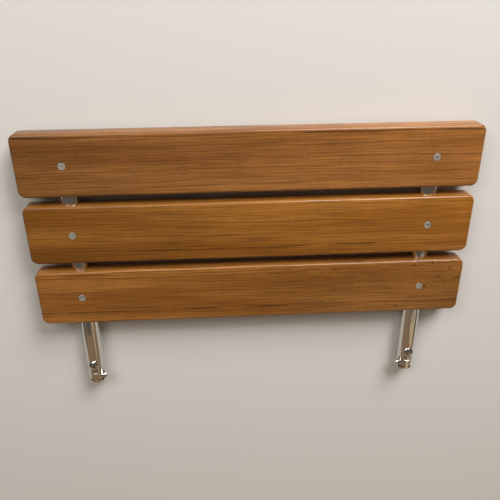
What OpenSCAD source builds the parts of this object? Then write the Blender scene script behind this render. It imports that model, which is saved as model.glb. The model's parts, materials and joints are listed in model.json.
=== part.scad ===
// Fold-down shower seat: three hardwood slats screwed to two round steel arms.
// Each arm ends in a hinge, whose foot is screwed to a wall plate.
// Axes: X runs along the slats, the wall is the plane y = 0, the seat reaches
// out to -Y, and z = 0 is the centre line of the arms with the seat down.

/* [Slats] */
// Length of each slat, across the seat
slat_len = 508; // [470:1:610]
// Width of each slat, front to back
slat_w = 70; // [56:1:84]
// Thickness of each slat
slat_t = 22; // [19:0.5:27]
// Open gap between neighbouring slats
slat_gap = 11; // [6:0.5:16]
// Rounding of the long edges
edge_r = 3; // [1:0.5:4]
// Rounding of the corners, seen from above
corner_r = 8; // [4:0.5:12]
// Wood left over the crest of each arm
arm_cover = 6; // [5:0.5:8]
// Wood left in front of each arm in the front slat
front_stop = 12; // [8:1:16]

/* [Arms] */
// Distance between the centre lines of the arms
arm_spacing = 406; // [330:1:425]
// Distance from the wall plane to the front edge of the seat
reach = 327; // [310:1:400]
// Outside diameter of the arm tubes
tube_d = 22; // [20:0.5:27]
// Wall thickness of the arm tubes
tube_wall = 1.5; // [1.2:0.1:2]
// Depth of the front cap's spigot inside the tube
cap_spigot = 10; // [6:1:14]
// Thickness of the front cap's flange
cap_flange = 1.6; // [1:0.1:2.5]

/* [Slat screws] */
// Thread diameter of the countersunk slat screws
screw_d = 4; // [3.5:0.5:5]
// Head diameter of the slat screws
screw_head_d = 8.4; // [7:0.1:10]
// Length of the slat screws, head included
screw_len = 16; // [13:1:18]
// Barrel diameter of the rivet nuts in the arms
nut_d = 6; // [5.5:0.1:7.5]
// Flange diameter of the rivet nuts
nut_flange_d = 9; // [8:0.1:11]
// Length of the rivet nuts
nut_len = 11; // [9.5:0.5:13]

/* [Hinge] */
// Thickness of the hinge foot that sits on the wall plate
foot_t = 4; // [3:0.5:6]
// Thread diameter of the hole in the foot for the wall plate's screw
wall_thread_d = 8; // [6:1:10]
// Pivot centre to the sitting side of the arm
pivot_cover = 4.5; // [4:0.1:5.5]
// Diameter of the pivot screw's shank
pin_d = 5; // [4:0.5:6]
// Wall thickness of the pivot bush
bush_wall = 1; // [0.6:0.1:1.4]
// Steel left round the pivot bush
eye_wall = 2.9; // [2:0.1:4]
// Thickness of the hinge tongue
tongue_t = 5.6; // [4:0.1:7]
// Length of the solid plug in the arm's end
plug_len = 32; // [26:1:42]
// Head diameter of the pivot screw
pin_head_d = 7.6; // [7:0.1:12]
// Height of the pivot screw's domed head
pin_head_h = 2.4; // [1.8:0.1:4]

/* [Plug screw] */
// Thread diameter of the screw that holds the plug
plug_screw_d = 6; // [4:0.5:7]
// Head diameter of that screw
plug_head_d = 13.2; // [9:0.1:14]
// Height of its domed head
plug_head_h = 3.6; // [2.4:0.1:4.5]
// Length of its shank
plug_screw_len = 15; // [10:1:17]
// Distance of the screw from the wall plane
plug_screw_out = 26.5; // [24:0.5:30]

/* [Hidden] */
$fn = 64;

// Clearances
groove_fit = 0.15;     // tube in its groove in the wood
fit = 0.05;            // radial gap of one piece inside another
thread_fit = 0.02;     // radial gap of a thread in its hole
moving_gap = 0.3;      // gap between faces that move past each other
stop_gap = 0.2;        // gap between the arm's end and the foot, with the seat down
fold_room = 0.5;       // gap between the arm's side and the foot, with the seat up
hole_room = 0.3;       // radial gap of a screw or nut in the hole it passes through
sink_room = 0.2;       // radial gap of a countersunk head in the wood
over = 1;              // how far a cutter runs past the face it opens
lap = 0.01;            // overlap of two solids that are joined

// Slats
slat_pitch = slat_w + slat_gap;
seat_z = tube_d / 2 + arm_cover;
back_z = seat_z - slat_t;
groove_r = tube_d / 2 + groove_fit;
function slat_y(i) = -reach + slat_w / 2 + i * slat_pitch;   // centre line of slat i

// Arms
tube_r = tube_d / 2;
bore_r = tube_r - tube_wall;
arm_end_y = -foot_t - stop_gap;
groove_end_y = -reach + front_stop;
cap_y = groove_end_y + moving_gap;
tube_front_y = cap_y + cap_flange;
cap_inset = 0.2;       // cap's flange, smaller than the tube by this

// Slat screws and rivet nuts
head_sink = 0.2;       // top of the head below the wood
head_rim = 0.45;       // straight rim over the cone
head_cone_h = (screw_head_d - screw_d) / 2;
sink_r = screw_head_d / 2 + sink_room;
screw_tip = 1;         // chamfer at the tip
recess_span = 0.52 * screw_head_d;
recess_slot = 0.11 * screw_head_d;
recess_depth = 1.6;
nut_flange_t = 0.8;
nut_bore_r = screw_d / 2 + thread_fit;
nut_bulge_r = nut_d / 2 + 1;
nut_bulge_up = 1;      // height of the bulge's slope above its widest ring
nut_bulge_down = 1.4;  // and below it
nut_bulge_gap = 0.6;   // widest ring below the point where it would touch the tube's bore
nut_bulge_z = sqrt(bore_r * bore_r - nut_bulge_r * nut_bulge_r) - nut_bulge_gap;

// Hinge
pivot_z = tube_r - pivot_cover;
pivot_y = -(foot_t + pivot_cover + fold_room);
pin_r = pin_d / 2;
bush_r = pin_r + bush_wall;
eye_r = bush_r + eye_wall;
slot_r = eye_r + moving_gap;
slot_t = tongue_t + 2 * moving_gap;
// sweep of the arm's top corner, which the foot is scooped out for
end_reach = arm_end_y - pivot_y;
scoop_r = sqrt(pivot_cover * pivot_cover + end_reach * end_reach) + moving_gap;
scoop_floor_y = pivot_y + scoop_r;
// steel left between the pivot screw's tip and the far side of the arm, at the tip's top
pin_skin = 0.6;
pin_end_x = pin_skin - sqrt(tube_r * tube_r - (pivot_z + pin_r) * (pivot_z + pin_r));
ferrule_seat_x = tube_r + moving_gap;
ferrule_flange_t = 1;
ferrule_flange_r = pin_head_d / 2 + 0.2;
ferrule_wall = 1;
ferrule_r = pin_r + ferrule_wall;
plug_r = bore_r - fit;
spot_depth = 0.6;      // flat cut in the crest for the plug screw's head
spot_z = tube_r - spot_depth;
plug_tap_room = 0.5;   // hole beyond the plug screw's tip
tap_share = 0.85;      // tapping size of a thread, as a share of its diameter
wall_hole_r = tap_share * wall_thread_d / 2;

// Domed heads
dome_rim = 0.25;       // straight rim, as a share of the head's height
dome_recess = 0.5;     // span of the crossed recess, as a share of the head's diameter
dome_slot = 0.18;      // slot width, as a share of that span
dome_depth = 0.5;      // recess depth, as a share of the head's height
dome_fn = 96;

STEEL = [0.78, 0.77, 0.75];
SCREW = [0.70, 0.70, 0.70];
WOOD = [0.56, 0.36, 0.18];
BLACK = [0.09, 0.09, 0.09];
NYLON = [0.88, 0.87, 0.82];
ZINC = [0.62, 0.62, 0.60];

// Puts a left-hand piece, drawn round x = 0 with +X towards the seat's middle, on its arm
module on_arm(side) {
    translate([side * arm_spacing / 2, 0, 0])
        if (side < 0) children();
        else mirror([1, 0, 0]) children();
}

// Cylinder along X, from x0 to x1, round the pivot
module pivot_cyl(r, x0, x1) {
    translate([x0, pivot_y, pivot_z]) rotate([0, 90, 0]) cylinder(r = r, h = x1 - x0);
}

// Cylinder along Y, round the arm's centre line
module arm_cyl(r, y0, y1) {
    translate([0, y1, 0]) rotate([90, 0, 0]) cylinder(r = r, h = y1 - y0);
}

// Rectangle with round corners, made of true arcs
module round_rect(w, h, r) {
    square([w - 2 * r, h], center = true);
    square([w, h - 2 * r], center = true);
    for (sx = [-1, 1], sy = [-1, 1])
        translate([sx * (w / 2 - r), sy * (h / 2 - r)]) circle(r = r);
}

// Crossed recess for a driver, cut down from z = 0
module cross_recess(span, slot, depth) {
    for (a = [0, 90]) rotate(a)
        translate([-span / 2, -slot / 2, -depth]) cube([span, slot, depth + over]);
}

// Low dome on a short rim, standing on z = 0
module dome_head(d, h) {
    rise = (1 - dome_rim) * h;
    span = dome_recess * d;
    dome_r = (d * d / 4 + rise * rise) / (2 * rise);
    difference() {
        intersection() {
            cylinder(d = d, h = h + over);
            translate([0, 0, h - dome_r]) sphere(r = dome_r, $fn = dome_fn);
        }
        translate([0, 0, h]) cross_recess(span, dome_slot * span, dome_depth * h);
    }
}

// One slat: rounded long edges, round corners, screw holes and grooves for the arms
module slat(i) {
    color(WOOD) difference() {
        intersection() {
            translate([-slat_len / 2, slat_y(i), back_z + slat_t / 2])
                rotate([90, 0, 90]) linear_extrude(slat_len) round_rect(slat_w, slat_t, edge_r);
            translate([0, slat_y(i), back_z - over])
                linear_extrude(slat_t + 2 * over) round_rect(slat_len, slat_w, corner_r);
        }
        for (side = [-1, 1]) translate([side * arm_spacing / 2, 0, 0]) {
            arm_groove(i);
            slat_screw_hole(i);
        }
    }
}

// Round-topped groove along the arm, stopped short of the front edge
module arm_groove(i) {
    y0 = max(slat_y(i) - slat_w / 2 - over, groove_end_y);
    y1 = slat_y(i) + slat_w / 2 + over;
    arm_cyl(groove_r, y0, y1);
    translate([-groove_r, y0, back_z - over]) cube([2 * groove_r, y1 - y0, over - back_z]);
}

// Clearance hole, countersink, and pocket for the rivet nut's flange
module slat_screw_hole(i) {
    translate([0, slat_y(i), 0]) {
        cylinder(r = screw_d / 2 + hole_room, h = seat_z + over);
        cylinder(r = nut_flange_d / 2 + hole_room, h = tube_r + nut_flange_t + hole_room);
        translate([0, 0, seat_z - head_sink - head_rim - sink_r])
            cylinder(r1 = 0, r2 = sink_r, h = sink_r);
        translate([0, 0, seat_z - head_sink - head_rim]) cylinder(r = sink_r, h = head_rim + over);
    }
}

// Countersunk screw with a crossed recess
module slat_screw(i, side) {
    color(SCREW) on_arm(side) translate([0, slat_y(i), seat_z - head_sink]) difference() {
        rotate_extrude() polygon([[0, 0], [screw_head_d / 2, 0],
            [screw_head_d / 2, -head_rim],
            [screw_d / 2, -head_rim - head_cone_h],
            [screw_d / 2, screw_tip - screw_len], [screw_d / 2 - screw_tip, -screw_len],
            [0, -screw_len]]);
        cross_recess(recess_span, recess_slot, recess_depth);
    }
}

// Threaded rivet nut: flange on the tube's crest, bulge gripping under its wall
module rivet_nut(i, side) {
    color(ZINC) on_arm(side) translate([0, slat_y(i), 0]) rotate_extrude() polygon([
        [nut_bore_r, tube_r + nut_flange_t],
        [nut_flange_d / 2, tube_r + nut_flange_t],
        [nut_flange_d / 2, tube_r],
        [nut_d / 2, tube_r],
        [nut_d / 2, nut_bulge_z + nut_bulge_up],
        [nut_bulge_r, nut_bulge_z],
        [nut_d / 2, nut_bulge_z - nut_bulge_down],
        [nut_d / 2, tube_r + nut_flange_t - nut_len],
        [nut_bore_r, tube_r + nut_flange_t - nut_len]]);
}

// Everything that is cut from the arm's end, tube and plug alike
module arm_end_cuts() {
    // slot for the tongue, open to the end and to the sitting side
    pivot_cyl(slot_r, -slot_t / 2, slot_t / 2);
    translate([-slot_t / 2, pivot_y, pivot_z - slot_r])
        cube([slot_t, over - pivot_y, slot_r + pivot_cover + over]);
    // bore for the ferrule on the inner side, and for the pivot screw's tip on the other
    pivot_cyl(ferrule_r + fit, 0, tube_d);
    pivot_cyl(pin_r + thread_fit, pin_end_x - thread_fit, 0);
    // spot face under the plug screw's head
    translate([0, -plug_screw_out, spot_z])
        cylinder(r = plug_head_d / 2 + hole_room, h = tube_d);
}

module arm_tube(side) {
    color(STEEL) on_arm(side) difference() {
        arm_cyl(tube_r, tube_front_y, arm_end_y);
        arm_cyl(bore_r, tube_front_y - over, arm_end_y + over);
        arm_end_cuts();
        translate([0, -plug_screw_out, 0])
            cylinder(r = plug_screw_d / 2 + hole_room, h = tube_d);
        for (i = [0, 1, 2]) translate([0, slat_y(i), 0])
            cylinder(r = nut_d / 2 + fit, h = tube_d);
    }
}

// Solid end of the arm, slotted for the tongue and drilled for both screws
module hinge_plug(side) {
    color(STEEL) on_arm(side) difference() {
        arm_cyl(plug_r, arm_end_y - plug_len, arm_end_y);
        arm_end_cuts();
        translate([0, -plug_screw_out, spot_z - plug_screw_len - plug_tap_room])
            cylinder(r = plug_screw_d / 2 + thread_fit, h = tube_d);
    }
}

// Foot on the wall plate, scooped out where the arm's end swings past it, with the
// tongue that fills the arm's slot flush with the tube
module hinge_foot(side) {
    root_y = scoop_floor_y / 2;
    color(STEEL) on_arm(side) difference() {
        union() {
            difference() {
                arm_cyl(tube_r, -foot_t, 0);
                pivot_cyl(scoop_r, -tube_d, tube_d);
            }
            intersection() {
                union() {
                    pivot_cyl(eye_r, -tongue_t / 2, tongue_t / 2);
                    translate([-tongue_t / 2, pivot_y, pivot_z - eye_r])
                        cube([tongue_t, root_y - pivot_y, eye_r + pivot_cover]);
                }
                arm_cyl(tube_r, pivot_y - eye_r - over, root_y);
            }
        }
        pivot_cyl(bush_r + thread_fit, -tongue_t, tongue_t);
        arm_cyl(wall_hole_r, -foot_t - lap, over);
    }
}

module pivot_bush(side) {
    color(NYLON) on_arm(side) difference() {
        pivot_cyl(bush_r, -tongue_t / 2, tongue_t / 2);
        pivot_cyl(pin_r + fit, -tongue_t, tongue_t);
    }
}

// Flanged sleeve that carries the pivot screw's head clear of the tube's side
module pivot_ferrule(side) {
    color(STEEL) on_arm(side) difference() {
        union() {
            pivot_cyl(ferrule_r, slot_t / 2, ferrule_seat_x + ferrule_flange_t);
            pivot_cyl(ferrule_flange_r, ferrule_seat_x, ferrule_seat_x + ferrule_flange_t);
        }
        pivot_cyl(pin_r + thread_fit, 0, tube_d);
    }
}

module pivot_screw(side) {
    head_x = ferrule_seat_x + ferrule_flange_t;
    color(SCREW) on_arm(side) {
        pivot_cyl(pin_r, pin_end_x, head_x);
        translate([head_x, pivot_y, pivot_z]) rotate([0, 90, 0])
            dome_head(pin_head_d, pin_head_h);
    }
}

module plug_screw(side) {
    color(SCREW) on_arm(side) translate([0, -plug_screw_out, spot_z]) {
        translate([0, 0, -plug_screw_len]) cylinder(d = plug_screw_d, h = plug_screw_len);
        dome_head(plug_head_d, plug_head_h);
    }
}

// Plastic cap in the arm's front end
module front_cap(side) {
    color(BLACK) on_arm(side) {
        arm_cyl(tube_r - cap_inset, cap_y, tube_front_y);
        arm_cyl(bore_r - fit, tube_front_y - lap, tube_front_y + cap_spigot);
    }
}

slat(0);  // front_slat
slat(1);  // middle_slat
slat(2);  // rear_slat
arm_tube(-1);  // left_arm_tube
arm_tube(1);  // right_arm_tube
front_cap(-1);  // left_front_cap
front_cap(1);  // right_front_cap
slat_screw(0, -1);  // front_left_slat_screw
slat_screw(1, -1);  // middle_left_slat_screw
slat_screw(2, -1);  // rear_left_slat_screw
slat_screw(0, 1);  // front_right_slat_screw
slat_screw(1, 1);  // middle_right_slat_screw
slat_screw(2, 1);  // rear_right_slat_screw
rivet_nut(0, -1);  // front_left_rivet_nut
rivet_nut(1, -1);  // middle_left_rivet_nut
rivet_nut(2, -1);  // rear_left_rivet_nut
rivet_nut(0, 1);  // front_right_rivet_nut
rivet_nut(1, 1);  // middle_right_rivet_nut
rivet_nut(2, 1);  // rear_right_rivet_nut
hinge_plug(-1);  // left_hinge_plug
hinge_plug(1);  // right_hinge_plug
plug_screw(-1);  // left_plug_screw
plug_screw(1);  // right_plug_screw
hinge_foot(-1);  // left_hinge_foot
hinge_foot(1);  // right_hinge_foot
pivot_bush(-1);  // left_pivot_bush
pivot_bush(1);  // right_pivot_bush
pivot_screw(-1);  // left_pivot_screw
pivot_screw(1);  // right_pivot_screw
pivot_ferrule(-1);  // left_pivot_ferrule
pivot_ferrule(1);  // right_pivot_ferrule
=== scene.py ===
"""Fold-down shower seat: teak slats, polished arms, hinges and screws, on a pale stage."""

import json
from math import cos, radians, sqrt
from typing import NamedTuple

import bmesh
import bpy
from bpy.props import FloatProperty, FloatVectorProperty, IntProperty, PointerProperty
from bpy.types import NodeSocket, Operator, Panel, PropertyGroup
from mathutils import Euler, Matrix, Vector


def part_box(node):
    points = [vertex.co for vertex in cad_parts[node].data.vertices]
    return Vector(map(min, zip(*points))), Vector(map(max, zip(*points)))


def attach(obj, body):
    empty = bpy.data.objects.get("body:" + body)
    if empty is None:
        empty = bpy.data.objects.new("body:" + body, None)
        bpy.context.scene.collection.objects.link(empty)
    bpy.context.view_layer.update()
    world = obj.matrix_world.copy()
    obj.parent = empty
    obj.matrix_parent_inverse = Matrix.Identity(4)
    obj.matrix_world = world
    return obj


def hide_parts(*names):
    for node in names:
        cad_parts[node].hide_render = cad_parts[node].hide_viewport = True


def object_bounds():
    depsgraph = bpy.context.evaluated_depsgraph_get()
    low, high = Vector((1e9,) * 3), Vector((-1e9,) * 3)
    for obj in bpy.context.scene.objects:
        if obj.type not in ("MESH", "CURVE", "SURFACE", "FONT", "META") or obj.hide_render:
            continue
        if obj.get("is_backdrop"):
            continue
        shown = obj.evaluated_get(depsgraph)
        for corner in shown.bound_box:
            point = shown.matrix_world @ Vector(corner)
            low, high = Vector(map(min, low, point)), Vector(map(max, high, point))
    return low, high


bl_info = {
    "name": "Fold-down shower seat",
    "version": (1, 0, 0),
    "blender": (4, 5, 0),
    "location": "3D Viewport > Sidebar > Shower Seat",
    "description": "Builds the visible pieces of a wall-hinged, slatted shower seat",
    "category": "Add Mesh",
}

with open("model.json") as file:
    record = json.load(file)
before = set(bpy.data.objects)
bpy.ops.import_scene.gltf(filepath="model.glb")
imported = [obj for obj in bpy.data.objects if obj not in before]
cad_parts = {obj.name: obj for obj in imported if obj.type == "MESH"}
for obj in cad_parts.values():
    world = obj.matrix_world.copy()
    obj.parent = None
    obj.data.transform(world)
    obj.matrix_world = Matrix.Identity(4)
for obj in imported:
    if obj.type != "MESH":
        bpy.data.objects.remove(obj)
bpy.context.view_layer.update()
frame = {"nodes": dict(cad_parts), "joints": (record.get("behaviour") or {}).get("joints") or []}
FOLD = frame["joints"][0]
PIVOT = Vector(FOLD["pos_m"])
SEAT, WALL = "seat", "wall_hinges"
SIDES = ("left", "right")
ROWS = ("front", "middle", "rear")
MM = 0.001
OVER = 2 * MM  # how far a cutter reaches past what it cuts
CLEARANCE = 0.3 * MM  # between moving pieces, and round what sits in a pocket
FIT = 0.05 * MM  # between pieces that fit closely
STOP_GAP = 0.2 * MM  # between an arm's end and the face of its foot
GROOVE_FIT = 0.15 * MM  # between an arm and the groove above it
TUBE_WALL = 1.5 * MM
WALL_HOLE = 3.4 * MM  # radius of the hole in a foot, threaded for an M8 screw
SLAT_SHANK = 2 * MM  # radius of the slat screws' shank
SCREW_RIM = 0.45 * MM  # straight rim of their heads
SINK_MARGIN = 0.35 * MM  # between their heads and the wood
NUT_BARREL = 3.05 * MM  # radius of the rivet nuts' holes in the arms
PLUG_SHANK = 3 * MM  # radius of the plug screws' shank
PLUG_HOLE = 3.2 * MM  # radius of their holes in the arms
PLUG_SPOT = 0.6 * MM  # depth of the flat under their heads
PIVOT_SHANK = 2.5 * MM  # radius of the pivot screws' shank
PIVOT_FIT = 0.02 * MM  # between that shank and its ferrule
FERRULE_SLEEVE = 3.5 * MM  # outer radius of the ferrules' sleeves
CREASE = radians(35)  # sharper edges than this get a bevel
SMOOTH = radians(32)  # flatter edges than this are shaded smooth


def srgb(hex_colour):
    """Linear RGB of an sRGB hex colour."""
    parts = [int(hex_colour[i : i + 2], 16) / 255 for i in (1, 3, 5)]
    return [p / 12.92 if p <= 0.04045 else ((p + 0.055) / 1.055) ** 2.4 for p in parts]


# ---------------------------------------------------------------- settings


class SlatSettings(PropertyGroup):
    """Shape and finish of the wooden slats."""

    edge_radius: FloatProperty(
        name="Edge radius", description="Rounding of every long and short edge",
        default=3 * MM, min=1 * MM, max=5 * MM, unit="LENGTH", precision=4)
    corner_radius: FloatProperty(
        name="Corner radius", description="Rounding of the corners, seen from above",
        default=8 * MM, min=4 * MM, max=12 * MM, unit="LENGTH", precision=4)
    pale_wood: FloatVectorProperty(
        name="Pale wood", description="Early wood under the varnish",
        subtype="COLOR", default=srgb("#B37638"), min=0, max=1)
    deep_wood: FloatVectorProperty(
        name="Deep wood", description="Darker bands of the heartwood",
        subtype="COLOR", default=srgb("#88501B"), min=0, max=1)
    late_wood: FloatVectorProperty(
        name="Late wood", description="Thin dark line that closes each year's ring",
        subtype="COLOR", default=srgb("#54300E"), min=0, max=1)
    streak: FloatVectorProperty(
        name="Mineral streak", description="Long brown streaks and open pores",
        subtype="COLOR", default=srgb("#2C1607"), min=0, max=1)
    ring_spacing: FloatProperty(
        name="Ring spacing", description="Width of one growth ring, in millimetres",
        default=3.6, min=1.5, max=8)
    varnish_roughness: FloatProperty(
        name="Varnish roughness", description="Gloss of the satin varnish",
        default=0.27, min=0.05, max=0.8)


class MetalSettings(PropertyGroup):
    """Finish and edge sizes of the metal pieces."""

    polished: FloatVectorProperty(
        name="Polished steel", description="Mirror-polished stainless steel",
        subtype="COLOR", default=srgb("#DAD8D4"), min=0, max=1)
    plain: FloatVectorProperty(
        name="Screw steel", description="Plain stainless steel of the countersunk screws",
        subtype="COLOR", default=srgb("#E2DED4"), min=0, max=1)
    zinc: FloatVectorProperty(
        name="Zinc plate", description="Zinc-plated rivet nuts",
        subtype="COLOR", default=srgb("#A9A9A4"), min=0, max=1)
    edge_break: FloatProperty(
        name="Edge break", description="Small bevel on machined edges",
        default=0.3 * MM, min=0.1 * MM, max=0.6 * MM, unit="LENGTH", precision=5)
    segments: IntProperty(
        name="Segments", description="Facets round a tube or a screw head",
        default=96, min=32, max=160)


class StageSettings(PropertyGroup):
    """Floor, light and camera."""

    floor_colour: FloatVectorProperty(
        name="Floor", description="Matt painted board",
        subtype="COLOR", default=srgb("#E3DFD8"), min=0, max=1)
    floor_gap: FloatProperty(
        name="Floor gap", description="Floor below the seat's lowest point",
        default=1.5 * MM, min=0, max=0.5, unit="LENGTH", precision=4)
    camera_place: FloatVectorProperty(
        name="Camera place", description="Above the seat and beyond its front edge",
        subtype="TRANSLATION", default=(0.036, -0.476, 0.609))
    camera_turn: FloatVectorProperty(
        name="Camera turn", description="Looks down at the slats with the front edge uppermost",
        subtype="EULER", default=(radians(-26.0), radians(-3.37), radians(179.56)))
    lens: FloatProperty(
        name="Lens", description="Focal length on a 36 mm wide sensor, in millimetres",
        default=41, min=20, max=100)


# ---------------------------------------------------------------- materials


def add_node(tree, kind, inputs=None, **settings):
    """Adds a node, sets its properties, and fills or links its inputs."""
    node = tree.nodes.new(kind)
    for key, value in settings.items():
        setattr(node, key, value)
    for key, value in (inputs or {}).items():
        if isinstance(value, NodeSocket):
            tree.links.new(value, node.inputs[key])
        else:
            node.inputs[key].default_value = value
    return node


def new_material(name):
    """An empty material, its node tree, its shader and its texture coordinates."""
    material = bpy.data.materials.new(name)
    material.use_nodes = True
    tree = material.node_tree
    shader = tree.nodes["Principled BSDF"]
    place = add_node(tree, "ShaderNodeTexCoord")
    return material, tree, shader, place


def stretched_noise(tree, place, size_mm, detail=2.0):
    """Noise whose grain has a real size along X, Y and Z, in millimetres."""
    scale = [1 / (s * MM) for s in size_mm]
    mapped = add_node(tree, "ShaderNodeMapping", {"Vector": place, "Scale": scale})
    noise = add_node(tree, "ShaderNodeTexNoise",
                     {"Vector": mapped.outputs[0], "Scale": 1.0, "Detail": detail})
    return noise.outputs["Fac"]


def remap(tree, value, low, high, to_low=0.0, to_high=1.0):
    """Maps low..high to to_low..to_high, smoothly and clamped."""
    return add_node(
        tree, "ShaderNodeMapRange",
        {"Value": value, "From Min": low, "From Max": high, "To Min": to_low, "To Max": to_high},
        interpolation_type="SMOOTHSTEP").outputs[0]


def math_of(tree, operation, *values):
    """One step of arithmetic on values or sockets."""
    return add_node(tree, "ShaderNodeMath", dict(enumerate(values)), operation=operation).outputs[0]


def blend_colour(tree, amount, first, second):
    """Goes from the first colour to the second as amount goes from 0 to 1."""
    first, second = (c if isinstance(c, NodeSocket) else (*c, 1) for c in (first, second))
    mix = add_node(tree, "ShaderNodeMix", {0: amount, 6: first, 7: second}, data_type="RGBA")
    return mix.outputs[2]


def teak(name, settings, board):
    """Satin-varnished teak: fine rings round a distant pith, long fibres, pores and streaks.

    The board's figure says how it lay in the log. The varnish gives soft highlights on the edges.
    """
    material, tree, shader, coords = new_material(name)
    own = coords.outputs["Object"]
    place = add_node(tree, "ShaderNodeMapping", {
        "Vector": own,
        "Location": [v * MM for v in board.log_place],
        "Rotation": [radians(v) for v in board.log_turn]}).outputs[0]

    # growth rings: distance from the pith, bent by slow drifts of the trunk, which
    # grow into curly figure towards one end of the board
    across = add_node(tree, "ShaderNodeVectorMath", {0: place, 1: (0, 1, 1)}, operation="MULTIPLY")
    radius = add_node(tree, "ShaderNodeVectorMath", {0: across.outputs[0]}, operation="LENGTH")
    along = add_node(tree, "ShaderNodeSeparateXYZ", {0: own})
    curl = remap(tree, along.outputs["X"], -0.21, 0.02, board.curl, 0.0)
    drift = remap(tree, stretched_noise(tree, place, (260, 50, 50), 2.0), 0.0, 1.0, -4.0, 4.0)
    ripple = remap(tree, stretched_noise(tree, place, (34, 11, 11), 1.5), 0.0, 1.0, -3.0, 3.0)
    bent = math_of(tree, "ADD", math_of(tree, "MULTIPLY", radius.outputs["Value"], 1 / MM),
                   math_of(tree, "ADD", drift, math_of(tree, "MULTIPLY", ripple, curl)))
    ring = math_of(tree, "DIVIDE", bent, settings.ring_spacing)
    phase = math_of(tree, "FRACT", ring)
    rise = remap(tree, phase, 0.5, 0.87)
    fall = remap(tree, phase, 0.86, 1.0, 1.0, 0.0)
    half = remap(tree, math_of(tree, "PINGPONG", ring, 0.25), 0.12, 0.25, 0.0, 0.22)
    year = add_node(tree, "ShaderNodeTexWhiteNoise", {"W": math_of(tree, "FLOOR", ring)},
                    noise_dimensions="1D").outputs["Value"]
    fade = remap(tree, stretched_noise(tree, place, (60, 5, 5), 1), 0.3, 0.7, 0.35, 1.0)
    year_depth = math_of(tree, "MULTIPLY", remap(tree, year, 0.0, 1.0, 0.3, board.contrast), fade)
    late = math_of(tree, "MAXIMUM", half,
                   math_of(tree, "MULTIPLY", math_of(tree, "MULTIPLY", rise, fall), year_depth))

    # fibres are drawn about 1 mm thick, coarser than life, so that they show
    fibre = stretched_noise(tree, place, (60, 1.1, 1.1), 3)
    band = stretched_noise(tree, place, (320, 24, 24), 1.5)
    cloud = stretched_noise(tree, place, (90, 50, 50), 1)
    mottle = stretched_noise(tree, place, (7, 20, 20), 1.5)
    pore = remap(tree, stretched_noise(tree, place, (7, 0.8, 0.8), 1), 0.64, 0.74)
    knot = remap(tree, stretched_noise(tree, place, (11, 2.2, 2.2), 1), 0.75, 0.82)

    heart = remap(tree, band, 0.3, 0.7, 0.1, 0.8)
    colour = blend_colour(tree, heart, settings.pale_wood, settings.deep_wood)
    colour = blend_colour(tree, late, colour, settings.late_wood)
    colour = blend_colour(tree, remap(tree, fibre, 0.42, 0.64, 0.0, 0.46), colour,
                          settings.late_wood)
    # one long mineral streak, beside the front edge of the board
    wander = remap(tree, stretched_noise(tree, place, (120, 30, 30), 1), 0.0, 1.0, -1.5, 1.5)
    offset = math_of(tree, "ADD", math_of(tree, "MULTIPLY", along.outputs["Y"], 1 / MM),
                     math_of(tree, "ADD", wander, -board.streak_y))
    line = remap(tree, math_of(tree, "ABSOLUTE", offset), 0.2, 1.3, 1.0, 0.0)
    broken = remap(tree, stretched_noise(tree, place, (75, 9, 9), 1.5), 0.42, 0.6)
    marks = math_of(tree, "MAXIMUM", math_of(tree, "MULTIPLY", line, broken), knot)
    colour = blend_colour(tree, math_of(tree, "MULTIPLY", marks, 0.75), colour, settings.streak)
    colour = blend_colour(tree, math_of(tree, "MULTIPLY", pore, 0.38), colour, settings.streak)
    ends = remap(tree, along.outputs["X"], -0.25, 0.25, 1 + board.paler, 1 - board.paler)
    tone = math_of(tree, "MULTIPLY", ends, remap(tree, cloud, 0.3, 0.7, 0.95, 1.06))
    tint = add_node(tree, "ShaderNodeHueSaturation", {
        "Color": colour, "Saturation": board.warmth, "Hue": board.hue,
        "Value": math_of(tree, "MULTIPLY", tone, remap(tree, mottle, 0.3, 0.7, 0.97, 1.03))})
    # end grain drinks the varnish and turns darker
    facing = add_node(tree, "ShaderNodeSeparateXYZ", {0: coords.outputs["Normal"]})
    end = remap(tree, math_of(tree, "ABSOLUTE", facing.outputs["X"]), 0.75, 0.98, 0.0, 0.45)
    colour = blend_colour(tree, end, tint.outputs[0], settings.late_wood)
    tree.links.new(colour, shader.inputs["Base Color"])

    gloss = settings.varnish_roughness
    tree.links.new(remap(tree, fibre, 0.3, 0.75, gloss, gloss + 0.1), shader.inputs["Roughness"])
    height = math_of(tree, "SUBTRACT", math_of(tree, "MULTIPLY", fibre, 0.5), pore)
    bump = add_node(tree, "ShaderNodeBump",
                    {"Height": height, "Strength": 0.3, "Distance": 0.1 * MM})
    tree.links.new(bump.outputs[0], shader.inputs["Normal"])
    shader.inputs["IOR"].default_value = 1.48
    return material


def polished_steel(name, colour, roughness, line_size=(0.4, 60, 0.4)):
    """Stainless steel, polished along its length: a mirror with faint draw lines and smears."""
    material, tree, shader, coords = new_material(name)
    place = coords.outputs["Object"]
    smear = stretched_noise(tree, place, (11, 17, 11), 2)
    lines = stretched_noise(tree, place, line_size, 1)
    shader.inputs["Base Color"].default_value = (*colour, 1)
    shader.inputs["Metallic"].default_value = 1
    tree.links.new(remap(tree, smear, 0.35, 0.75, roughness, roughness * 2.2),
                   shader.inputs["Roughness"])
    bump = add_node(tree, "ShaderNodeBump",
                    {"Height": lines, "Strength": 0.15, "Distance": 0.01 * MM})
    tree.links.new(bump.outputs[0], shader.inputs["Normal"])
    return material


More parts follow.
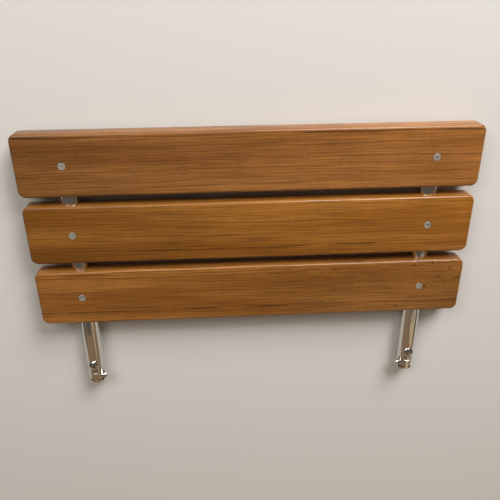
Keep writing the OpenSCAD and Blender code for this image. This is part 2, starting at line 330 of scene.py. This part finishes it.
def plain_steel(name, colour, roughness):
    """Tumbled stainless or zinc-plated steel: an even, slightly grained satin."""
    material, tree, shader, coords = new_material(name)
    grain = stretched_noise(tree, coords.outputs["Object"], (0.5, 0.5, 0.5), 3)
    shade = remap(tree, grain, 0.3, 0.7, 0.85, 1.08)
    tone = add_node(tree, "ShaderNodeHueSaturation", {"Color": (*colour, 1), "Value": shade})
    tree.links.new(tone.outputs[0], shader.inputs["Base Color"])
    tree.links.new(remap(tree, grain, 0.3, 0.7, roughness * 0.8, roughness * 1.25),
                   shader.inputs["Roughness"])
    shader.inputs["Metallic"].default_value = 1
    return material


def moulded_plastic(name, colour, roughness):
    """Injection-moulded nylon or polyethylene: fine spark-eroded texture, about 0.3 mm."""
    material, tree, shader, coords = new_material(name)
    grain = stretched_noise(tree, coords.outputs["Object"], (0.3, 0.3, 0.3), 2)
    shade = remap(tree, grain, 0.3, 0.7, 0.9, 1.1)
    tone = add_node(tree, "ShaderNodeHueSaturation", {"Color": (*colour, 1), "Value": shade})
    tree.links.new(tone.outputs[0], shader.inputs["Base Color"])
    bump = add_node(tree, "ShaderNodeBump",
                    {"Height": grain, "Strength": 0.3, "Distance": 0.03 * MM})
    tree.links.new(bump.outputs[0], shader.inputs["Normal"])
    shader.inputs["Roughness"].default_value = roughness
    return material


def painted_board(name, colour):
    """Matt emulsion on a smooth board, with a faint roller texture of about 4 mm."""
    material, tree, shader, coords = new_material(name)
    stipple = stretched_noise(tree, coords.outputs["Object"], (4, 4, 4), 2)
    shader.inputs["Base Color"].default_value = (*colour, 1)
    shader.inputs["Roughness"].default_value = 0.75
    bump = add_node(tree, "ShaderNodeBump",
                    {"Height": stipple, "Strength": 0.12, "Distance": 0.2 * MM})
    tree.links.new(bump.outputs[0], shader.inputs["Normal"])
    return material


# ---------------------------------------------------------------- modelling helpers


def deselect():
    """Leaves edit mode, with nothing selected."""
    if bpy.context.object and bpy.context.object.mode != "OBJECT":
        bpy.ops.object.mode_set(mode="OBJECT")
    bpy.ops.object.select_all(action="DESELECT")


def pick(obj):
    """Makes obj the one selected and active object."""
    deselect()
    obj.select_set(True)
    bpy.context.view_layer.objects.active = obj


def box_between(low, high):
    """A cube primitive stretched to fill low..high, with its place in its mesh."""
    deselect()
    low, high = Vector(low), Vector(high)
    bpy.ops.mesh.primitive_cube_add(size=1, location=(low + high) / 2)
    bpy.context.object.scale = high - low
    bpy.ops.object.transform_apply(location=True, rotation=True, scale=True)
    return bpy.context.object


def rod(axis, radius, start, end, segments=64):
    """A cylinder along axis X, Y or Z, from the point start to the point end."""
    deselect()
    start, end = Vector(start), Vector(end)
    turn = {"X": (0, radians(90), 0), "Y": (radians(-90), 0, 0), "Z": (0, 0, 0)}[axis]
    bpy.ops.mesh.primitive_cylinder_add(
        vertices=segments, radius=radius, depth=(end - start).length,
        location=(start + end) / 2, rotation=turn)
    bpy.ops.object.transform_apply(location=True, rotation=True, scale=True)
    return bpy.context.object


def combine(obj, other, operation="DIFFERENCE"):
    """Cuts, joins or intersects obj with other, and removes other."""
    pick(obj)
    modifier = obj.modifiers.new("combine", "BOOLEAN")
    modifier.operation = operation
    modifier.solver = "EXACT"
    modifier.object = other
    bpy.ops.object.modifier_apply(modifier=modifier.name)
    bpy.data.objects.remove(other)
    return obj


def select_edges(obj, wanted):
    """Enters edit mode with only the edges selected for which wanted(start, end) is true."""
    pick(obj)
    bpy.ops.object.mode_set(mode="EDIT")
    bpy.ops.mesh.select_mode(type="EDGE")
    bpy.ops.mesh.select_all(action="DESELECT")
    mesh = bmesh.from_edit_mesh(obj.data)
    for edge in mesh.edges:
        if wanted(edge.verts[0].co, edge.verts[1].co):
            edge.select_set(True)
    bmesh.update_edit_mesh(obj.data)


def break_edges(obj, width, segments=2):
    """Rounds every crease of obj by a small bevel."""
    pick(obj)
    modifier = obj.modifiers.new("edge break", "BEVEL")
    modifier.width = width
    modifier.segments = segments
    modifier.limit_method = "ANGLE"
    modifier.angle_limit = CREASE
    modifier.harden_normals = False
    bpy.ops.object.modifier_apply(modifier=modifier.name)
    return obj


def finish_piece(obj, name, material, body, nodes):
    """Names a piece, gives it its finish and body, and hides the CAD nodes it stands for."""
    pick(obj)
    bpy.ops.object.mode_set(mode="EDIT")
    bpy.ops.mesh.select_all(action="SELECT")
    bpy.ops.mesh.remove_doubles(threshold=0.002 * MM)
    bpy.ops.object.mode_set(mode="OBJECT")
    bpy.ops.object.shade_smooth_by_angle(angle=SMOOTH)
    obj.name = name
    obj.data.name = name
    obj.data.materials.clear()
    obj.data.materials.append(material)
    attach(obj, body)
    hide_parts(*nodes)
    return obj


def material_named(name, make, *values):
    """The material of that name, made on first use."""
    return bpy.data.materials.get(name) or make(name, *values)


def dress_node(node, material):
    """Gives a CAD node a better material."""
    mesh = frame["nodes"][node].data
    mesh.materials.clear()
    mesh.materials.append(material)


def half_width(node):
    """Half the size of a CAD node along X."""
    low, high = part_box(node)
    return (high.x - low.x) / 2


def middle_y(node):
    """Middle of a CAD node along Y."""
    low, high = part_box(node)
    return (low.y + high.y) / 2


def arm_x(side):
    """Centre line of an arm."""
    low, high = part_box(f"{side}_arm_tube")
    return (low.x + high.x) / 2


def inner(side):
    """Direction along X from an arm to the middle of the seat."""
    return 1 if arm_x(side) < 0 else -1


def on_pivot(x):
    """The point at x on the hinge's line."""
    return (x, PIVOT.y, PIVOT.z)


# ---------------------------------------------------------------- slats


class Board(NamedTuple):
    """Figure and tone of one slat."""

    log_place: tuple  # from the pith, in mm
    log_turn: tuple  # length of the slat off the grain, in degrees
    curl: float  # curly figure at the left end, 0 for none
    paler: float  # how much paler the left end is than the middle
    contrast: float  # darkest line of late wood
    streak_y: float  # line of the long mineral streak, in mm
    warmth: float  # saturation
    hue: float  # 0.5 leaves the hue alone


BOARDS = {
    "front": Board((0, 520, 35), (4, 0.2, -0.3), 0.1, 0.24, 0.88, -322.5, 0.98, 0.5),
    "middle": Board((700, 390, 22), (-6, -0.2, 0.2), 0.2, 0.2, 0.82, -190.0, 1.02, 0.502),
    "rear": Board((1500, 260, 60), (8, 0.3, 0.5), 3.2, -0.1, 1.2, -110.0, 1.0, 0.502),
}


def rounded_board(low, high, corner_radius, edge_radius):
    """A board with round corners, and every edge rounded over."""
    board = box_between(low, high)
    select_edges(board, lambda a, b: abs(a.z - b.z) > edge_radius)
    bpy.ops.mesh.bevel(offset=corner_radius, segments=10, affect="EDGES")
    bpy.ops.object.mode_set(mode="OBJECT")
    select_edges(board, lambda a, b: abs(a.z - b.z) < 0.01 * MM)
    bpy.ops.mesh.bevel(offset=edge_radius, segments=6, affect="EDGES")
    bpy.ops.object.mode_set(mode="OBJECT")
    return board


def cut_arm_seat(board, row, side):
    """Cuts one arm's groove, and the screw hole over it, out of a board."""
    low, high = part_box(f"{row}_slat")
    screw = f"{row}_{side}_slat_screw"
    nut = f"{row}_{side}_rivet_nut"
    x = arm_x(side)
    radius = half_width(f"{side}_arm_tube") + GROOVE_FIT
    start = max(low.y - OVER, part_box(f"{side}_front_cap")[0].y - CLEARANCE)
    end = high.y + OVER
    combine(board, rod("Y", radius, (x, start, 0), (x, end, 0), 96))
    combine(board, box_between((x - radius, start, low.z - OVER), (x + radius, end, 0)))

    # one cutter for the nut's pocket, the screw's hole and its countersink
    pocket = half_width(nut) + CLEARANCE
    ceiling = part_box(nut)[1].z + CLEARANCE
    hole = SLAT_SHANK + CLEARANCE
    sink = half_width(screw) + SINK_MARGIN
    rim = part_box(screw)[1].z - SCREW_RIM
    drill = turned([(pocket, 0), (pocket, ceiling), (hole, ceiling), (hole, rim - sink + hole),
                    (sink, rim), (sink, high.z + OVER)], 64)
    drill.data.transform(Matrix.Translation((x, middle_y(screw), 0)))
    combine(board, drill)


class SHOWERSEAT_OT_slats(Operator):
    """Models the three varnished slats"""

    bl_idname = "shower_seat.slats"
    bl_label = "Slats"

    def execute(self, context):
        settings = context.scene.shower_seat_slats
        for row in ROWS:
            low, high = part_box(f"{row}_slat")
            board = rounded_board(low, high, settings.corner_radius, settings.edge_radius)
            for side in SIDES:
                cut_arm_seat(board, row, side)
            finish = teak(f"varnished_teak_{row}", settings, BOARDS[row])
            finish_piece(board, f"{row}_teak_slat", finish, SEAT, [f"{row}_slat"])
        return {"FINISHED"}


# ---------------------------------------------------------------- arms and hinges


def end_sweep():
    """Radius that the top corner of an arm's end needs, as the arm turns about the pivot."""
    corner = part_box("left_arm_tube")[1]
    return sqrt((corner.y - PIVOT.y) ** 2 + (corner.z - PIVOT.z) ** 2) + CLEARANCE


def tongue_size(side):
    """Half thickness of the hinge tongue, and radius of its round eye."""
    return half_width(f"{side}_pivot_bush"), PIVOT.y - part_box(f"{side}_hinge_foot")[0].y


class SHOWERSEAT_OT_arms(Operator):
    """Models the two polished arm tubes, slotted at the hinge end"""

    bl_idname = "shower_seat.arms"
    bl_label = "Arms"

    def execute(self, context):
        metal = context.scene.shower_seat_metal
        finish = material_named("polished_stainless_tube", polished_steel, metal.polished, 0.035)
        for side in SIDES:
            low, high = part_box(f"{side}_arm_tube")
            x, radius = arm_x(side), (high.x - low.x) / 2
            tube = rod("Y", radius, (x, low.y, 0), (x, high.y, 0), metal.segments)
            combine(tube, rod("Y", radius - TUBE_WALL, (x, low.y - OVER, 0),
                              (x, high.y + OVER, 0), 80))
            # slot for the foot's tongue, open at the end and above
            half_tongue, eye = tongue_size(side)
            half_slot, slot_radius = half_tongue + CLEARANCE, eye + CLEARANCE
            combine(tube, rod("X", slot_radius, on_pivot(x - half_slot), on_pivot(x + half_slot)))
            combine(tube, box_between((x - half_slot, PIVOT.y, PIVOT.z - slot_radius),
                                      (x + half_slot, high.y + OVER, radius + OVER)))
            combine(tube, rod("X", FERRULE_SLEEVE + FIT, on_pivot(x),
                              on_pivot(x + inner(side) * 2 * radius)))
            y = middle_y(f"{side}_plug_screw")
            spot = half_width(f"{side}_plug_screw") + CLEARANCE
            combine(tube, rod("Z", spot, (x, y, radius - PLUG_SPOT), (x, y, 2 * radius)))
            combine(tube, rod("Z", PLUG_HOLE, (x, y, 0), (x, y, 2 * radius), 32))
            for row in ROWS:
                y = middle_y(f"{row}_{side}_rivet_nut")
                combine(tube, rod("Z", NUT_BARREL, (x, y, 0), (x, y, 2 * radius), 32))
            break_edges(tube, 0.6 * metal.edge_break)
            finish_piece(tube, f"{side}_polished_arm", finish, SEAT,
                         [f"{side}_arm_tube"])
        return {"FINISHED"}


class SHOWERSEAT_OT_caps(Operator):
    """Models the plastic caps in the arms' front ends"""

    bl_idname = "shower_seat.caps"
    bl_label = "Front caps"

    def execute(self, context):
        finish = material_named("moulded_black_plastic", moulded_plastic, srgb("#17171A"), 0.5)
        for side in SIDES:
            low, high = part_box(f"{side}_front_cap")
            x, radius = arm_x(side), (high.x - low.x) / 2
            flange_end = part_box(f"{side}_arm_tube")[0].y
            cap = rod("Y", radius, (x, low.y, 0), (x, flange_end, 0), 64)
            spigot = half_width(f"{side}_arm_tube") - TUBE_WALL - FIT
            combine(cap, rod("Y", spigot, (x, flange_end - 0.1 * MM, 0), (x, high.y, 0), 64), "UNION")
            break_edges(cap, 0.5 * MM, 3)
            finish_piece(cap, f"{side}_moulded_cap", finish, SEAT,
                         [f"{side}_front_cap"])
        return {"FINISHED"}


class SHOWERSEAT_OT_feet(Operator):
    """Models the hinge feet with their tongues, and dresses the plugs and bushes"""

    bl_idname = "shower_seat.feet"
    bl_label = "Hinge feet"

    def execute(self, context):
        metal = context.scene.shower_seat_metal
        finish = material_named("polished_stainless_forging", polished_steel, metal.polished,
                                0.06, (2, 2, 2))
        nylon = material_named("turned_nylon", moulded_plastic, srgb("#E4E2D8"), 0.45)
        for side in SIDES:
            low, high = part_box(f"{side}_hinge_foot")
            x, radius = arm_x(side), (high.x - low.x) / 2
            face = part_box(f"{side}_arm_tube")[1].y + STOP_GAP
            half, eye = tongue_size(side)
            sweep = end_sweep()
            root = (PIVOT.y + sweep) / 2  # halfway between the scoop's floor and the wall
            # tongue: a round eye and a web, kept within the arm's outline
            tongue = rod("X", eye, on_pivot(x - half), on_pivot(x + half), 96)
            web = box_between((x - half, PIVOT.y, PIVOT.z - eye),
                              (x + half, root + OVER, radius + OVER))
            combine(tongue, web, "UNION")
            outline = rod("Y", radius, (x, low.y - OVER, 0), (x, root, 0), metal.segments)
            combine(tongue, outline, "INTERSECT")
            # disc, scooped out so that the arm's end can swing past
            foot = rod("Y", radius, (x, face, 0), (x, high.y, 0), metal.segments)
            break_edges(foot, 0.5 * MM, 3)
            combine(foot, rod("X", sweep, on_pivot(x - 2 * radius), on_pivot(x + 2 * radius), 128))
            combine(foot, tongue, "UNION")
            bush_low, bush_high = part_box(f"{side}_pivot_bush")
            bush = (bush_high.z - bush_low.z) / 2
            combine(foot, rod("X", bush, on_pivot(x - radius), on_pivot(x + radius)))
            combine(foot, rod("Y", WALL_HOLE, (x, face - 0.01 * MM, 0), (x, high.y + OVER, 0), 48))
            break_edges(foot, metal.edge_break)
            finish_piece(foot, f"{side}_polished_foot", finish, WALL,
                         [f"{side}_hinge_foot"])
            dress_node(f"{side}_hinge_plug", finish)
            dress_node(f"{side}_pivot_bush", nylon)
        return {"FINISHED"}


# ---------------------------------------------------------------- screws


def cross_cutter(span, slot, depth, top):
    """A driver recess: two tapered wings that narrow towards the bottom, centred on Z."""
    taper = (0.45, 0.6, 1)
    wings = []
    for turn in (0, 90):
        wing = box_between((-span / 2, -slot / 2, top - depth), (span / 2, slot / 2, top + depth))
        pick(wing)
        bpy.ops.object.mode_set(mode="EDIT")
        bpy.ops.mesh.select_mode(type="VERT")
        bpy.ops.mesh.select_all(action="DESELECT")
        mesh = bmesh.from_edit_mesh(wing.data)
        for vert in mesh.verts:
            vert.select_set(vert.co.z < top)
        bmesh.update_edit_mesh(wing.data)
        bpy.ops.transform.resize(value=taper, center_override=(0, 0, top))
        bpy.ops.object.mode_set(mode="OBJECT")
        wing.rotation_euler.z = radians(turn)
        bpy.ops.object.transform_apply(rotation=True)
        wings.append(wing)
    return combine(wings[0], wings[1], "UNION")


def turned(profile, segments):
    """A solid of revolution about Z, extruded ring by ring up its (radius, height) profile."""
    deselect()
    radius, height = profile[0]
    bpy.ops.mesh.primitive_circle_add(vertices=segments, radius=radius, fill_type="NGON",
                                      location=(0, 0, 0))
    obj = bpy.context.object
    bpy.ops.object.mode_set(mode="EDIT")
    bpy.ops.mesh.select_all(action="SELECT")
    bpy.ops.transform.translate(value=(0, 0, height))
    for next_radius, next_height in profile[1:]:
        bpy.ops.mesh.extrude_region_move(
            TRANSFORM_OT_translate={"value": (0, 0, next_height - height)})
        factor = next_radius / radius
        bpy.ops.transform.resize(value=(factor, factor, 1), center_override=(0, 0, next_height))
        radius, height = next_radius, next_height
    bpy.ops.mesh.select_all(action="SELECT")
    bpy.ops.mesh.normals_make_consistent(inside=False)
    bpy.ops.object.mode_set(mode="OBJECT")
    return obj


def place_copy(pattern, matrix):
    """A copy of pattern with its own mesh, moved into place in that mesh."""
    copy = pattern.copy()
    copy.data = pattern.data.copy()
    bpy.context.scene.collection.objects.link(copy)
    copy.data.transform(matrix)
    return copy


class SHOWERSEAT_OT_slat_screws(Operator):
    """Models the countersunk cross-head screws, and dresses the rivet nuts under them"""

    bl_idname = "shower_seat.slat_screws"
    bl_label = "Slat screws"

    def execute(self, context):
        metal = context.scene.shower_seat_metal
        finish = material_named("plain_stainless_screw", plain_steel, metal.plain, 0.56)
        zinc = material_named("zinc_plated_nut", plain_steel, metal.zinc, 0.4)
        low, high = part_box("front_left_slat_screw")
        length, head = high.z - low.z, (high.x - low.x) / 2
        shank, rim = SLAT_SHANK, SCREW_RIM
        point = 1 * MM
        screw = turned([
            (shank - point, -length), (shank, point - length), (shank, shank - head - rim),
            (head, -rim), (head, -0.12 * MM), (head - 0.15 * MM, 0)], 48)
        combine(screw, cross_cutter(0.66 * 2 * head, 0.2 * 2 * head, 2.2 * MM, 0))
        for row in ROWS:
            for side in SIDES:
                node = f"{row}_{side}_slat_screw"
                low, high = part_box(node)
                # the recesses stand at different angles, as they do after driving
                turn = 37 * (ROWS.index(row) + 1) + 20 * SIDES.index(side)
                place = Matrix.Translation(((low.x + high.x) / 2, (low.y + high.y) / 2, high.z))
                copy = place_copy(screw, place @ Matrix.Rotation(radians(turn), 4, "Z"))
                finish_piece(copy, f"{row}_{side}_countersunk_screw", finish,
                             SEAT, [node])
                dress_node(f"{row}_{side}_rivet_nut", zinc)
        bpy.data.objects.remove(screw)
        return {"FINISHED"}


def domed_screw(head_radius, head_height, shank_radius, shank_length, segments):
    """A domed cross-head screw standing on z = 0, its shank below."""
    rim = 0.25 * head_height
    rise = head_height - rim
    dome = (head_radius**2 + rise**2) / (2 * rise)
    steps = 12
    point, lip = 0.6 * MM, 0.2 * MM
    profile = [(shank_radius - point, -shank_length), (shank_radius, point - shank_length),
               (shank_radius, 0), (head_radius - lip, 0), (head_radius, lip)]
    for i in range(steps):
        radius = head_radius * cos(radians(90 * i / steps))
        profile.append((radius, rim + rise - dome + sqrt(dome**2 - radius**2)))
    screw = turned(profile, segments)
    return combine(screw, cross_cutter(1.05 * head_radius, 0.26 * head_radius,
                                       0.6 * head_height, head_height))


class SHOWERSEAT_OT_domed_screws(Operator):
    """Models the domed screws of the plugs and pivots, and the pivots' ferrules"""

    bl_idname = "shower_seat.domed_screws"
    bl_label = "Domed screws"

    def execute(self, context):
        metal = context.scene.shower_seat_metal
        finish = material_named("polished_stainless_screw", polished_steel, metal.polished,
                                0.07, (2, 2, 2))
        low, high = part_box("left_plug_screw")
        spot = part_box("left_arm_tube")[1].z - PLUG_SPOT
        plug_screw = domed_screw((high.x - low.x) / 2, high.z - spot, PLUG_SHANK,
                                 spot - low.z, 72)
        low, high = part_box("left_pivot_screw")
        under_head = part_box("left_pivot_ferrule")[1].x
        pivot_head = high.x - under_head
        pivot_screw = domed_screw((high.z - low.z) / 2, pivot_head, PIVOT_SHANK,
                                  under_head - low.x, 64)
        for side in SIDES:
            seat = Matrix.Translation((arm_x(side), middle_y(f"{side}_plug_screw"), spot))
            turn = Matrix.Rotation(radians(12 + 24 * SIDES.index(side)), 4, "Z")
            finish_piece(place_copy(plug_screw, seat @ turn), f"{side}_domed_plug_screw", finish,
                         SEAT, [f"{side}_plug_screw"])
            low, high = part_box(f"{side}_pivot_screw")
            seat_x = high.x - pivot_head if inner(side) > 0 else low.x + pivot_head
            seat = Matrix.Translation(on_pivot(seat_x))
            turn = Matrix.Rotation(radians(90 * inner(side)), 4, "Y")
            finish_piece(place_copy(pivot_screw, seat @ turn), f"{side}_domed_pivot_screw",
                         finish, SEAT, [f"{side}_pivot_screw"])
            self.add_ferrule(side, finish, metal)
        bpy.data.objects.remove(plug_screw)
        bpy.data.objects.remove(pivot_screw)
        return {"FINISHED"}

    def add_ferrule(self, side, finish, metal):
        """Flanged sleeve under the pivot screw's head."""
        low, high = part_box(f"{side}_pivot_ferrule")
        way = inner(side)
        end = high.x if way > 0 else low.x
        flange = arm_x(side) + way * (half_width(f"{side}_arm_tube") + CLEARANCE)
        radius = (high.z - low.z) / 2
        ferrule = rod("X", FERRULE_SLEEVE, on_pivot(low.x), on_pivot(high.x))
        combine(ferrule, rod("X", radius, on_pivot(min(flange, end)), on_pivot(max(flange, end))),
                "UNION")
        combine(ferrule, rod("X", PIVOT_SHANK + PIVOT_FIT, on_pivot(low.x - OVER),
                             on_pivot(high.x + OVER)))
        break_edges(ferrule, metal.edge_break)
        finish_piece(ferrule, f"{side}_flanged_ferrule", finish, SEAT,
                     [f"{side}_pivot_ferrule"])


# ---------------------------------------------------------------- stage


def soft_light(name, place, target, size, power, colour=(1, 1, 1)):
    """A rectangular area light that faces target and stays out of the camera's view."""
    light = bpy.data.lights.new(name, "AREA")
    light.shape = "RECTANGLE"
    light.size, light.size_y = size
    light.energy = power
    light.color = colour
    holder = bpy.data.objects.new(name, light)
    holder.location = place
    holder.visible_camera = False
    direction = Vector(target) - Vector(place)
    holder.rotation_euler = direction.to_track_quat("-Z", "Y").to_euler()
    bpy.context.scene.collection.objects.link(holder)


class SHOWERSEAT_OT_stage(Operator):
    """Adds the pale floor, the soft light and the camera"""

    bl_idname = "shower_seat.stage"
    bl_label = "Stage"

    def execute(self, context):
        stage = context.scene.shower_seat_stage
        low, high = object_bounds()
        level = low.z - stage.floor_gap
        deselect()
        bpy.ops.mesh.primitive_plane_add(size=8, location=(0, 0, level))
        floor = context.object
        floor.name = "floor"
        bpy.ops.object.transform_apply(location=True)
        floor.data.materials.append(painted_board("matt_floor_paint", stage.floor_colour))
        floor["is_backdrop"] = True

        middle = (low + high) / 2
        soft_light("key_panel", (-0.85, -2.1, 1.15), middle, (1.0, 1.1), 57)
        soft_light("front_fill", (0.9, -1.8, 1.7), middle, (1.8, 1.0), 24)
        # warm cards beyond the hinges, which the polished arms mirror
        soft_light("brown_card", (0, 0.62, 0.445), (0, 0, 0.445), (1.8, 0.915), 0.8, (1, 0.5, 0.16))
        soft_light("amber_card", (-1.07, 1.27, 1.42), (0, 0, 0), (0.8, 1.3), 0.9, (1, 0.8, 0.52))

        world = bpy.data.worlds.new("studio")
        world.use_nodes = True
        background = world.node_tree.nodes["Background"]
        background.inputs["Color"].default_value = (*srgb("#F0E2D0"), 1)
        background.inputs["Strength"].default_value = 0.13
        context.scene.world = world
        context.scene.view_settings.view_transform = "Standard"

        lens = bpy.data.cameras.new("camera")
        lens.lens = stage.lens
        lens.sensor_width = 36
        lens.clip_start = 0.01
        camera = bpy.data.objects.new("camera", lens)
        camera.location = stage.camera_place
        camera.rotation_euler = Euler(stage.camera_turn)
        context.scene.collection.objects.link(camera)
        context.scene.camera = camera
        return {"FINISHED"}


# ---------------------------------------------------------------- panel and registration

STEPS = ("stage", "slats", "arms", "caps", "feet", "slat_screws", "domed_screws")


class SHOWERSEAT_PT_build(Panel):
    """Lists the steps that build the seat"""

    bl_idname = "SHOWERSEAT_PT_build"
    bl_label = "Shower Seat"
    bl_space_type = "VIEW_3D"
    bl_region_type = "UI"
    bl_category = "Shower Seat"

    def draw(self, context):
        for step in STEPS:
            self.layout.operator(f"shower_seat.{step}")
        for group in ("slats", "metal", "stage"):
            settings = getattr(context.scene, f"shower_seat_{group}")
            box = self.layout.box()
            for key in settings.__annotations__:
                box.prop(settings, key)


CLASSES = (
    SlatSettings, MetalSettings, StageSettings, SHOWERSEAT_OT_stage, SHOWERSEAT_OT_slats,
    SHOWERSEAT_OT_arms, SHOWERSEAT_OT_caps, SHOWERSEAT_OT_feet, SHOWERSEAT_OT_slat_screws,
    SHOWERSEAT_OT_domed_screws, SHOWERSEAT_PT_build,
)


def register():
    """Registers the classes and the settings in the scene."""
    for cls in CLASSES:
        bpy.utils.register_class(cls)
    bpy.types.Scene.shower_seat_slats = PointerProperty(type=SlatSettings)
    bpy.types.Scene.shower_seat_metal = PointerProperty(type=MetalSettings)
    bpy.types.Scene.shower_seat_stage = PointerProperty(type=StageSettings)


def unregister():
    """Undoes register."""
    del bpy.types.Scene.shower_seat_stage
    del bpy.types.Scene.shower_seat_metal
    del bpy.types.Scene.shower_seat_slats
    for cls in reversed(CLASSES):
        bpy.utils.unregister_class(cls)


def main():
    """Builds every piece and the stage."""
    register()
    for step in STEPS:
        getattr(bpy.ops.shower_seat, step)()


if __name__ == "__main__":
    main()
